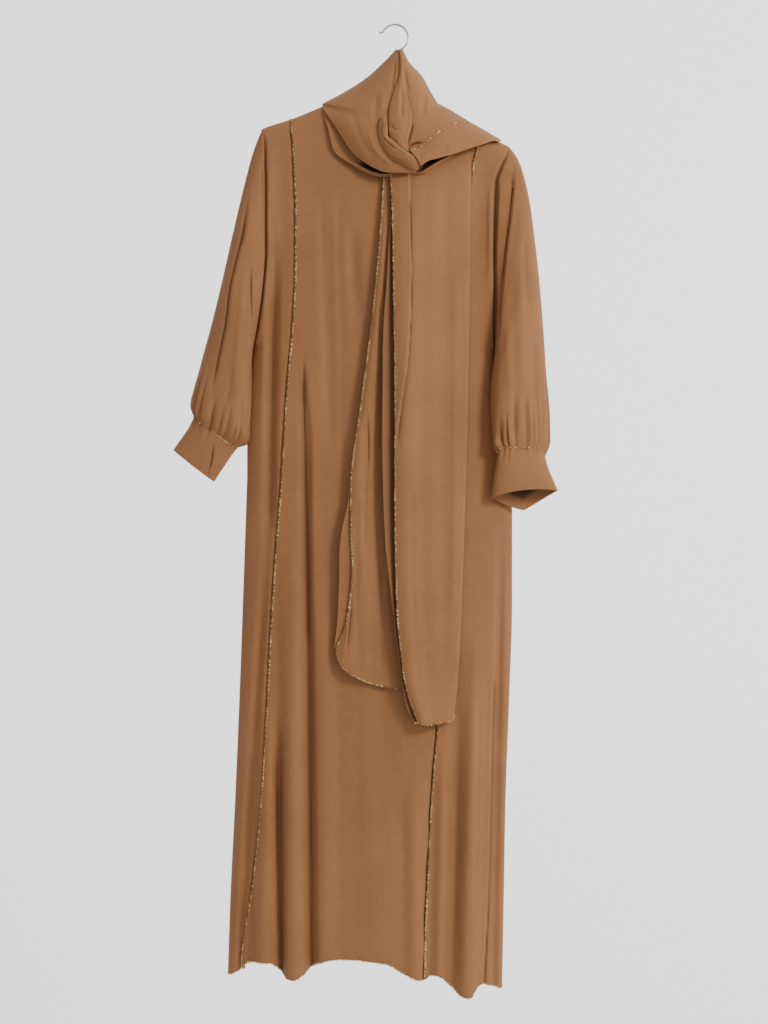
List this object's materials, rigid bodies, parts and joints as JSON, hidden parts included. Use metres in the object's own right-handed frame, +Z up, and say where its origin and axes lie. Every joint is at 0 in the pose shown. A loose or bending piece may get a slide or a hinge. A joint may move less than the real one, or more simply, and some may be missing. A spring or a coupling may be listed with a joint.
{
  "type": "abaya with matching shawl on a wire hanger",
  "caption": "Long straight abaya with gathered sleeves, flared cuffs and front seams, hung with its knotted shawl on a wire hook hanger.",
  "frame": {"origin": "inside top of the hook, where it rests on what holds it up", "axes": "+Z up, +X to the viewer's right when the front is seen, -Y out of the garment's front"},
  "size_m": [0.636, 0.1186, 1.6013],
  "materials": {
    "crepe": "matt camel brown crepe with a faint warm sheen",
    "wire": "polished",
    "bar": "plain dark"
  },
  "bodies": {
    "root": {"front_centre": "crepe", "front_side_left": "crepe", "front_side_right": "crepe", "back_panel": "crepe", "sleeve_left": "crepe", "sleeve_right": "crepe", "cuff_left": "crepe", "cuff_right": "crepe", "shawl_back": "crepe", "shawl_under": "crepe", "shawl_left": "crepe", "shawl_right": "crepe", "shawl_band": "crepe", "shawl_pleat": "crepe", "shawl_knot": "crepe", "tail_left": "crepe", "tail_right": "crepe", "hanger_hook": "wire", "hanger_bar": "bar"}
  },
  "joints": []
}
